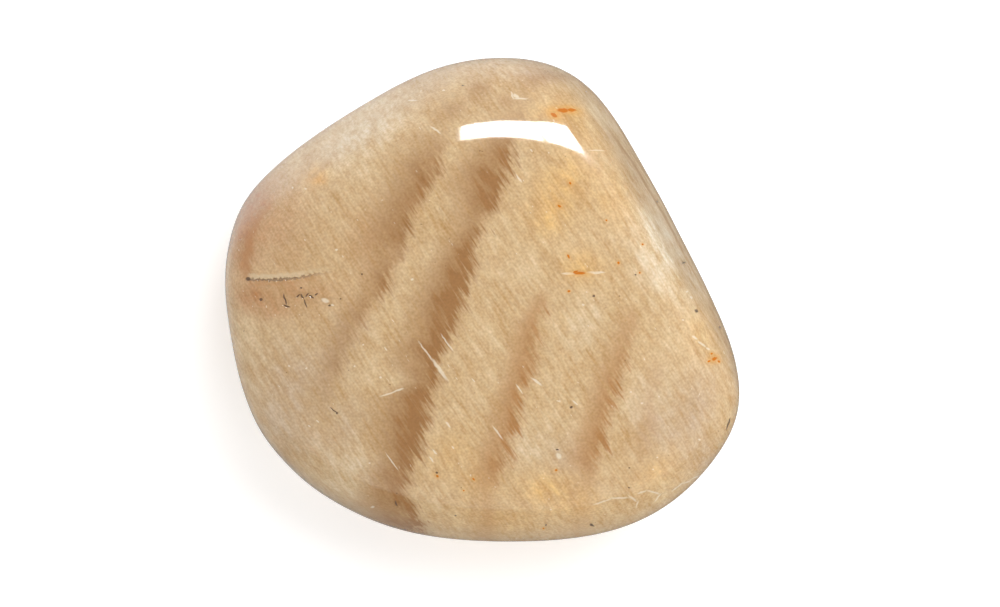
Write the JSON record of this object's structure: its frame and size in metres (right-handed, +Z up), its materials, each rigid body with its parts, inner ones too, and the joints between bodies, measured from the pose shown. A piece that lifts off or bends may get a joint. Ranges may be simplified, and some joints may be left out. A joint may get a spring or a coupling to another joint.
{
  "type": "tumbled moonstone pebble",
  "caption": "Polished, tumble-worn moonstone pebble: a low rounded block with a blunt triangular outline, domed top, and a small flat spot it rests on.",
  "frame": {"origin": "middle of the pebble's footprint, on the plane of the small flat spot it rests on", "axes": "+Z up away from the flat spot, +Y towards the edge with the blunt narrow end, +X along the longest extent towards the wide shoulder"},
  "size_m": [0.0324, 0.0307, 0.0165],
  "materials": {
    "polished_moonstone": "polished"
  },
  "bodies": {
    "root": {"moonstone": "polished_moonstone"}
  },
  "joints": []
}
